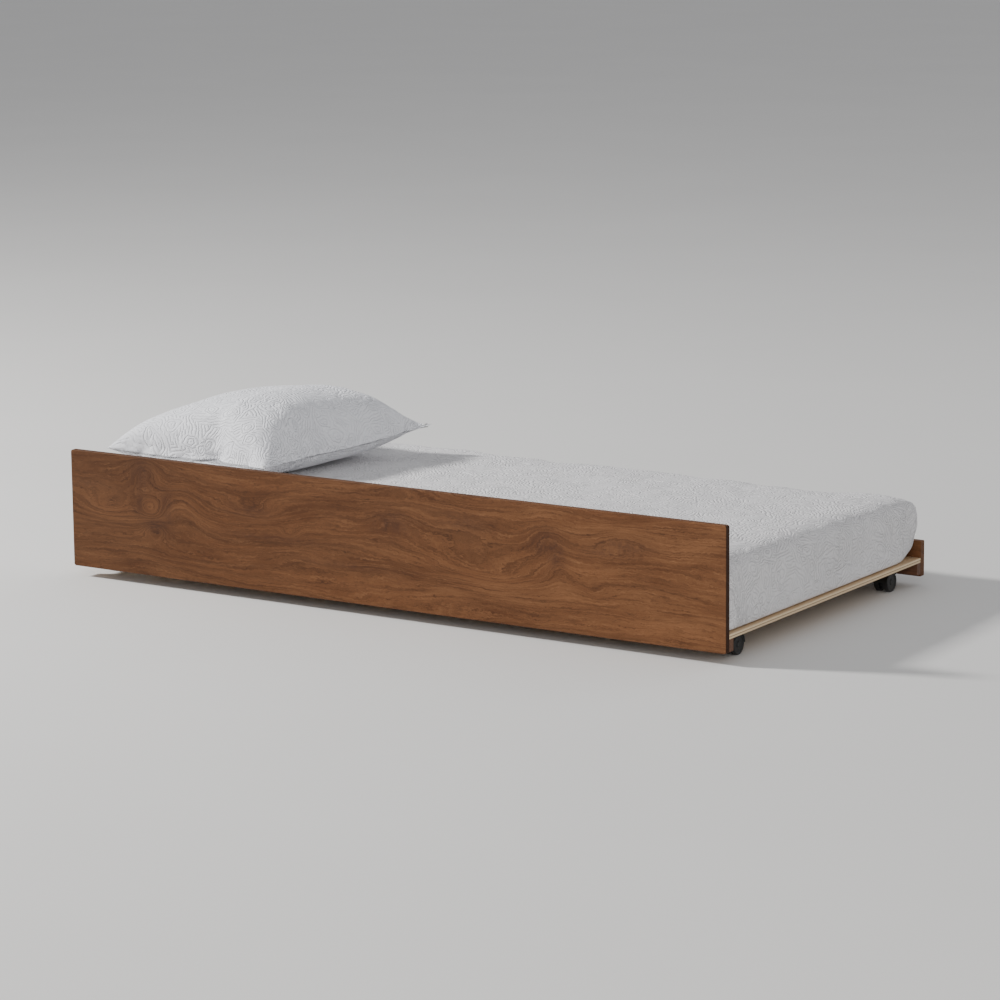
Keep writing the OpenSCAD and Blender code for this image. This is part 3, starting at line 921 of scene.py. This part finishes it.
def flat_sack():
    """Two flat layers of cloth sewn together at their edges."""
    nx, ny = round(SACK[0] / SACK_CELL), round(SACK[1] / SACK_CELL)
    i, j = np.meshgrid(np.arange(nx + 1), np.arange(ny + 1), indexing="ij")
    on_edge = (i == 0) | (i == nx) | (j == 0) | (j == ny)
    top = np.arange((nx + 1) * (ny + 1)).reshape(nx + 1, ny + 1)
    low = top.copy()
    low[~on_edge] = top.size + np.arange(np.count_nonzero(~on_edge))
    faces = []
    for p in range(nx):
        for q in range(ny):
            ring = ((p, q), (p + 1, q), (p + 1, q + 1), (p, q + 1))
            faces.append([int(top[c]) for c in ring])
            faces.append([int(low[c]) for c in reversed(ring)])
    return i / nx, j / ny, on_edge, top, low, faces


def seam_heights(heights):
    """Heights over the whole sheet, run in from its four edges."""
    p = np.linspace(0.0, 1.0, heights.shape[0])[:, None]
    q = np.linspace(0.0, 1.0, heights.shape[1])[None, :]
    across = (1 - p) * heights[:1, :] + p * heights[-1:, :]
    along = (1 - q) * heights[:, :1] + q * heights[:, -1:]
    corners = ((1 - p) * (1 - q) * heights[0, 0] + p * (1 - q) * heights[-1, 0]
               + (1 - p) * q * heights[0, -1] + p * q * heights[-1, -1])
    return across + along - corners


def corner_weights(a, b):
    """Shares of the near left, near right, far left and far right corners."""
    left, right = (1 - a) / 2, (1 + a) / 2
    near, far = (1 - b) / 2, (1 + b) / 2
    return left * near, right * near, left * far, right * far


def relaxed(sheet, rounds, keep):
    """Evens out a layer's folds, but keeps some of each and the seam as it is."""
    even = sheet.copy()
    for _ in range(rounds):
        even[1:-1, 1:-1] = (even[:-2, 1:-1] + even[2:, 1:-1] + even[1:-1, :-2] + even[1:-1, 2:]) / 4
    return even + keep * (sheet - even)


def settled(sheet, wanted_crown):
    """Puts the blown-up sack on the mattress: its seam sinks, its corners go to their places."""
    sheet = [relaxed(sheet[0], 14, 0.30), relaxed(sheet[1], 6, 0.6)]
    seam = seam_heights(sheet[0][:, :, 2])
    corner = np.abs(sheet[0][[0, -1, 0, -1], [0, 0, -1, -1], :2]).mean(axis=0)
    crown = (sheet[0][:, :, 2] - seam).max()
    depth = (seam - sheet[1][:, :, 2]).max()
    placed = []
    for layer, share in ((0, (wanted_crown - PILLOW_SEAM) / crown), (1, PILLOW_SEAM / depth)):
        a, b = sheet[layer][:, :, 0] / corner[0], sheet[layer][:, :, 1] / corner[1]
        a = a + PILLOW_LEAN * (1 - a * a) * (1 - layer)
        b = b - PILLOW_TUCK * (1 - b * b) * layer
        weights = corner_weights(a, b)
        raised = PILLOW_SEAM + sum(np.clip(w, 0, 1) ** 3.0 * (c[2] - PILLOW_SEAM)
                                   for w, c in zip(weights, PILLOW_CORNERS))
        x = sum(w * c[0] for w, c in zip(weights, PILLOW_CORNERS))
        y = sum(w * c[1] for w, c in zip(weights, PILLOW_CORNERS))
        thin = 1.0 - CORNER_THINNING * smooth(np.maximum.reduce(weights[1:]), 0.62, 0.95)
        height = (sheet[layer][:, :, 2] - seam) * share
        if layer == 0:
            tallest = wanted_crown - PILLOW_SEAM
            fuller = 1.0 - PILLOW_SHOULDER * smooth(-a, -0.1, 0.8)
            height = tallest * np.clip(height / tallest, 0.0, None) ** fuller
        z = raised + height * thin
        z = np.where(z < 0.004, 0.0008 + 0.0032 * np.exp((z - 0.004) / 0.0032), z)
        placed.append(np.stack([x, y, z + bed_top(y)], axis=-1))
    return placed


def blown_sack():
    p, q, on_edge, top, low, faces = flat_sack()
    puff = np.where(on_edge, 0.0, 0.012 * np.sin(math.pi * p) * np.sin(math.pi * q) + 0.002)
    jitter = RANDOM.normal(0.0, 0.0006, p.shape)
    points = np.zeros((int(low.max()) + 1, 3))
    for layer, sign in ((low, -1.0), (top, 1.0)):
        points[layer.ravel()] = np.column_stack([
            ((p - 0.5) * SACK[0]).ravel(), ((q - 0.5) * SACK[1]).ravel(),
            (SACK_HEIGHT + sign * puff + jitter).ravel(),
        ])
    piece = new_piece("sack", points, faces)
    floor = new_piece("sack_floor", [(-1, -1, 0), (1, -1, 0), (1, 1, 0), (-1, 1, 0)], [(0, 1, 2, 3)])
    floor.modifiers.new("hard", "COLLISION")
    floor.collision.thickness_outer = 0.003
    floor.collision.cloth_friction = 40.0
    moved = inflate(piece, SACK_FRAMES, SACK_PRESSURE, 0.04, 40.0, 1.2, True)
    bpy.data.objects.remove(piece)
    bpy.data.objects.remove(floor)
    return moved, top, low, faces


def pillow_pieces():
    """The quilted sham and the insert in it, from one blown-up sack."""
    moved, top, low, faces = blown_sack()
    placed = settled([moved[top], moved[low]], PILLOW_CROWN)
    points = moved.copy()
    points[low.ravel()] = placed[1].reshape(-1, 3)
    points[top.ravel()] = placed[0].reshape(-1, 3)
    flat = np.zeros((len(points), 3))
    p, q = np.meshgrid(np.linspace(0, SACK[0], top.shape[0]),
                       np.linspace(0, SACK[1], top.shape[1]), indexing="ij")
    flat[low.ravel()] = np.column_stack([p.ravel(), q.ravel(), np.full(p.size, -1.0)])
    flat[top.ravel()] = np.column_stack([p.ravel(), q.ravel(), np.full(p.size, 1.0)])
    sham = new_piece("sham", points, faces)
    sharpen(sham.data, top)
    store(sham.data, "cloth", flat)
    insert = new_piece("insert", points, faces)
    subdivided(insert, 1)
    shrunk = points_of(insert.data) - SHAM_THICKNESS * normals_of(insert.data)
    set_points(insert.data, shrunk)
    subdivided(sham, 2)
    quilt_sham(sham.data)
    return sham, insert


def sharpen(mesh, top):
    """Keeps the sack's four points and its sewn edge crisp when it is made finer."""
    corners = mesh.attributes.new("crease_vert", "FLOAT", "POINT")
    for index in (top[0, 0], top[0, -1], top[-1, 0], top[-1, -1]):
        corners.data[int(index)].value = 1.0
    seam = set(np.concatenate([top[0], top[-1], top[:, 0], top[:, -1]]).tolist())
    edges = mesh.attributes.new("crease_edge", "FLOAT", "EDGE")
    for edge, crease in zip(mesh.edges, edges.data):
        crease.value = 0.7 if set(edge.vertices) <= seam else 0.0


def quilt_sham(mesh):
    """Gives the sham its quilted relief, its stitched line and its puckered seam."""
    points, normals, cloth = points_of(mesh), normals_of(mesh), fetch(mesh, "cloth")
    u, v, side = cloth.T
    edge = np.minimum(np.minimum(u, SACK[0] - u), np.minimum(v, SACK[1] - v))
    shift = np.where(side > 0, 0.0, 3.0)
    drift = 0.009 * wander(u + shift, v, 0.09, 41) + 0.005 * wander(u, v, 0.045, 44)
    _, border = motif_field(u + shift + drift, v - drift, SHAM_MOTIF, 42)
    puff = 1.0 - np.exp(-border / 0.007)
    inside = smooth(edge, 0.010, 0.030)
    rise = inside * SHAM_PUFF * puff - SHAM_SINK
    stitch = np.exp(-((edge - SHAM_STITCH) / STITCH_WIDTH) ** 2)
    pucker = np.exp(-edge / 0.020) * wander(u, v, 0.030, 43)
    off_u, off_v = np.abs(u / SACK[0] - 0.5), np.abs(v / SACK[1] - 0.5)
    tip = (np.maximum(off_u, off_v) > 0.47) & (np.minimum(off_u, off_v) > 0.42)
    rise += -STITCH_DEPTH * stitch + SEAM_PUCKER * pucker * smooth(edge, 0.0, 0.006)
    rise = np.where(tip, 0.0, rise)
    moved = points + normals * rise[:, None]
    moved[:, 2] = np.maximum(moved[:, 2], bed_top(moved[:, 1]) + 0.0006)
    moved[:, 0] = np.maximum(moved[:, 0], PANEL_LOW.x + 0.001)
    set_points(mesh, moved)


# ---------------------------------------------------------------- cloth materials


# Quilting of the cover and of the sham: size of a cell, period of the rows, depth of
# painted shade in the stitched lines, light colour, colour of the painted shade and the slubs, and
# height of the rows
COVER_QUILT = (0.060, 0.0096, 0.12, (0.84, 0.825, 0.83), (0.50, 0.485, 0.51), 0.0024)
SHAM_QUILT = (0.062, 0.0092, 0.08, (0.96, 0.965, 1.0), (0.60, 0.60, 0.66), 0.0022)
STRIPES_PER_METRE = 28.0
TWILL = 5200.0
THREADS = 9000.0


def kept_vector(shader, name):
    made = shader.node("Attribute", {"attribute_name": name})
    split = shader.node("SeparateXYZ", Vector=made.outputs["Vector"])
    return split.outputs["X"], split.outputs["Y"], split.outputs["Z"]


def rows_along(shader, level, period):
    """Rounded rows from 0 to 1, with a stitched line every period of the level."""
    wave = shader.math("SINE", shader.times(level, math.pi / period))
    return shader.math("POWER", shader.math("ABSOLUTE", wave), 0.7)


def quilting_rows(shader, flat, size, period):
    """Height of the quilting from 0 to 1: small curls, and short rows at all angles between."""
    bent = shader.bent(shader.bent(flat, 0.7 / size, 0.9 * size), 2.4 / size, 0.34 * size)
    near, cell = shader.cells(bent, size)
    turn = shader.node("SeparateColor", Color=cell.outputs["Color"])
    angle = shader.times(turn.outputs["Red"], 2.0 * math.pi)
    split = shader.node("SeparateXYZ", Vector=shader.bent(flat, 2.0 / size, 0.34 * size))
    across = shader.times(split.outputs["X"], shader.math("COSINE", angle))
    hatch = shader.math("MULTIPLY_ADD", split.outputs["Y"], shader.math("SINE", angle), across)
    between = shader.between(near, 0.34 * size, 0.44 * size)
    curls = shader.times(rows_along(shader, near, period), shader.math("SUBTRACT", 1.0, between))
    return shader.math("MULTIPLY_ADD", rows_along(shader, hatch, period), between, curls)


def quilted(name, size, period, groove_shade_depth, light, shade_and_slub, relief):
    """White quilted cotton: curls and short rows of stitching with painted shade in their lines,
    slubs and the weave.
    """
    shader = Shader(name, Roughness=0.86, Specular_IOR_Level=0.25, Sheen_Weight=0.12,
                    Sheen_Roughness=0.5)
    u, v, side = kept_vector(shader, "cloth")
    x, y, z = shader.place()
    place = shader.point(x, y, z)
    flat = shader.point(shader.math("MULTIPLY_ADD", side, 3.0, u), v)
    rows = quilting_rows(shader, flat, size, period)
    weave = shader.noise(shader.point(u, v, z), 1500.0, 2.0, 0.6)
    slub = shader.noise(place, 240.0, 4.0, 0.6)
    presence = shader.between(shader.noise(flat, 7.0, 2.0), 0.34, 0.56, 0.66, 1.0)
    cloud = shader.noise(place, 5.0, 3.0)
    cotton = shader.mix(shader.between(cloud, 0.3, 0.7), light, tuple(0.97 * c for c in light))
    # Painted shade in the stitched lines, where the rows sink
    depth = shader.times(shader.math("SUBTRACT", 1.0, rows), presence)
    cotton = shader.mix(shader.times(depth, groove_shade_depth), cotton, shade_and_slub)
    shader.colour(shader.over(cotton, shade_and_slub, slub, 0.45, 0.8, 0.10))
    shader.roughness(shader.between(weave, 0.2, 0.8, 0.78, 0.94))
    bumps = shader.bump(weave, 0.25, 0.0003)
    bumps = shader.bump(slub, 0.30, 0.0005, bumps)
    shader.normal(shader.bump(shader.times(rows, presence), 1.0, relief, bumps))
    return shader.material


def ticking():
    """Striped mattress ticking with a herringbone weave."""
    shader = Shader("ticking", Roughness=0.8, Sheen_Weight=0.08)
    x, y, z = shader.place()
    stripe = shader.math("FRACT", shader.times(y, STRIPES_PER_METRE))
    band = shader.ramp(stripe, (0.0, 0.0), (0.10, 0.0), (0.12, 1.0), (0.20, 1.0), (0.22, 0.0),
                       (0.30, 0.0), (0.32, 1.0), (0.34, 1.0), (0.36, 0.0))
    zigzag = shader.math("PINGPONG", shader.times(x, 400.0), 1.0)
    twill = shader.math("SINE", shader.math("MULTIPLY_ADD", y, TWILL, shader.times(zigzag, 3.0)))
    fuzz = shader.noise(shader.point(x, y, z), 700.0, 3.0)
    base = shader.mix(shader.between(fuzz, 0.3, 0.7), (0.60, 0.58, 0.53), (0.70, 0.68, 0.63))
    shader.colour(shader.mix(shader.times(band, 0.7), base, (0.22, 0.26, 0.36)))
    shader.normal(shader.bump(twill, 0.3, 0.0003, shader.bump(fuzz, 0.2, 0.0003)))
    return shader.material


def plain_cotton():
    """The insert's closely woven cotton, with painted shade in the hollows of its creases."""
    shader = Shader("pillow_cotton", Roughness=0.85, Sheen_Weight=0.1)
    x, y, z = shader.place()
    warp = shader.math("SINE", shader.times(x, THREADS))
    weft = shader.math("SINE", shader.times(y, THREADS))
    weave = shader.times(warp, weft)
    crease = shader.noise(shader.point(x, y, z), 22.0, 4.0)
    crease_shade = shader.between(crease, 0.3, 0.7)
    # Painted shade: darker and yellower in the hollows of the crease relief
    shader.colour(shader.mix(crease_shade, (0.80, 0.79, 0.76), (0.86, 0.86, 0.84)))
    shader.normal(shader.bump(weave, 0.2, 0.0002, shader.bump(crease, 0.25, 0.003)))
    return shader.material


def finish_piece(piece, material, body, nodes):
    piece.data.materials.clear()
    piece.data.materials.append(material)
    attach(piece, body)
    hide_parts(*nodes)


def make_soft_pieces():
    form, faces = swollen_block()
    cover, core = mattress_cover(form, faces), mattress_core(form, faces)
    sham, insert = pillow_pieces()
    finish_piece(cover, quilted("quilt", *COVER_QUILT), "mattress", ["mattress_cover"])
    finish_piece(core, ticking(), "mattress", ["mattress_core"])
    finish_piece(sham, quilted("sham_quilt", *SHAM_QUILT), "pillow", ["pillow_sham"])
    finish_piece(insert, plain_cotton(), "pillow", ["pillow_insert"])


# ---------------------------------------------------------------- finish


def paint(material, *nodes):
    for name in nodes:
        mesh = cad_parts[name].data
        mesh.materials.clear()
        mesh.materials.append(material)


def node_names(part):
    return [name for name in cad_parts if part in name]


def paint_frame():
    # The last number is how much painted shade the end faces get
    paint(veneer("panel_veneer", PANEL_KNOTS, PANEL_SMUDGES, PANEL_LIGHTS, 1.7, 0.92), "front_panel")
    paint(veneer("rail_veneer", RAIL_KNOTS, (), (), 5.3, 0.25), "back_rail")
    paint(solid_wood("cleat_wood", (0.085, 0.036, 0.018), (0.175, 0.078, 0.038)),
          "front_cleat", "back_cleat")
    paint(plywood(), *[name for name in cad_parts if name.startswith("slat_")])
    zinc = metal("zinc", (0.62, 0.61, 0.58), (0.46, 0.45, 0.42), 0.34)
    paint(zinc, *node_names("screws"), *node_names("_stem"), *node_names("_axle"))
    paint(painted_steel(), *node_names("_plate"))
    paint(black_plastic("caster_plastic", (0.008, 0.010, 0.0095), (0.030, 0.031, 0.030), 0.62),
          *node_names("_housing"))
    paint(black_plastic("wheel_plastic", (0.010, 0.011, 0.011), (0.045, 0.042, 0.039), 0.58),
          *node_names("_wheel_"))


def make_floor():
    mesh = bpy.data.meshes.new("floor")
    corners = [(i * FLOOR_HALF, j * FLOOR_HALF, 0) for i, j in ((-1, -1), (1, -1), (1, 1), (-1, 1))]
    mesh.from_pydata(corners, [], [(0, 1, 2, 3)])
    floor = bpy.data.objects.new("floor", mesh)
    bpy.context.scene.collection.objects.link(floor)
    shader = Shader("floor_paint", Roughness=0.75)
    x, y, z = shader.place()
    cloud = shader.noise(shader.point(x, y), 1.3, 3.0)
    shader.colour(shader.mix(cloud, (0.80, 0.79, 0.77), (0.84, 0.83, 0.81)))
    mesh.materials.append(shader.material)


make_camera()
make_lights()
make_floor()
paint_frame()
make_soft_pieces()
